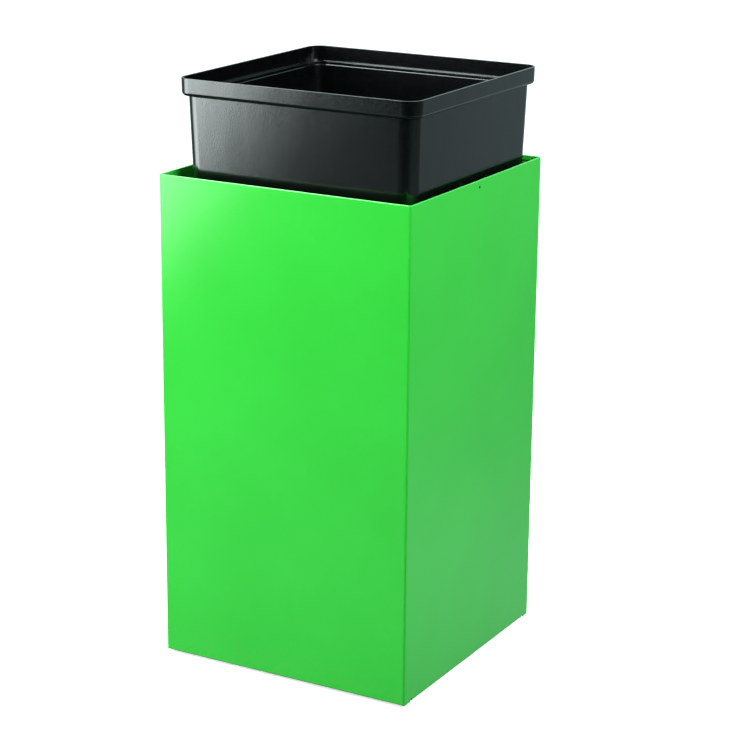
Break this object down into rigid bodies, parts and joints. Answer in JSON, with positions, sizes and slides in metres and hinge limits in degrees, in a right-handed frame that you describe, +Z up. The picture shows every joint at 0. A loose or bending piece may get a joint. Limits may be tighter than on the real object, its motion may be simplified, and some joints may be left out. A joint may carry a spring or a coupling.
{
  "type": "litter bin",
  "caption": "Open square sheet-steel litter bin on low rubber feet, with a tall moulded plastic liner that stands on the floor pan and lifts straight out.",
  "frame": {"origin": "on the floor, under the middle of the square shell", "axes": "+Z up, front of the shell faces -Y, back panel faces +Y, +X is the right-hand side seen from the front"},
  "size_m": [0.4, 0.4016, 0.854],
  "materials": {
    "green_powder_coat": "satin",
    "black_liner_plastic": "fine moulded grain",
    "foot_rubber": "matte",
    "zinc_fastener": "zinc plated"
  },
  "bodies": {
    "shell": {"body_wrap": "green_powder_coat", "back_panel": "green_powder_coat", "floor_pan": "green_powder_coat", "foot_front_left": "foot_rubber", "foot_front_right": "foot_rubber", "foot_rear_left": "foot_rubber", "foot_rear_right": "foot_rubber", "foot_screw_front_left": "zinc_fastener", "foot_screw_front_right": "zinc_fastener", "foot_screw_rear_left": "zinc_fastener", "foot_screw_rear_right": "zinc_fastener", "foot_nut_front_left": "zinc_fastener", "foot_nut_front_right": "zinc_fastener", "foot_nut_rear_left": "zinc_fastener", "foot_nut_rear_right": "zinc_fastener", "rivet_left_1": "green_powder_coat", "rivet_left_2": "green_powder_coat", "rivet_left_3": "green_powder_coat", "rivet_left_4": "green_powder_coat", "rivet_left_5": "green_powder_coat", "rivet_right_1": "green_powder_coat", "rivet_right_2": "green_powder_coat", "rivet_right_3": "green_powder_coat", "rivet_right_4": "green_powder_coat", "rivet_right_5": "green_powder_coat"},
    "liner": {"liner": "black_liner_plastic"}
  },
  "joints": [
    {"name": "liner_lift", "type": "slide", "parent": "shell", "child": "liner", "axis": [0, 0, 1], "range_m": [0, 0.75]}
  ]
}
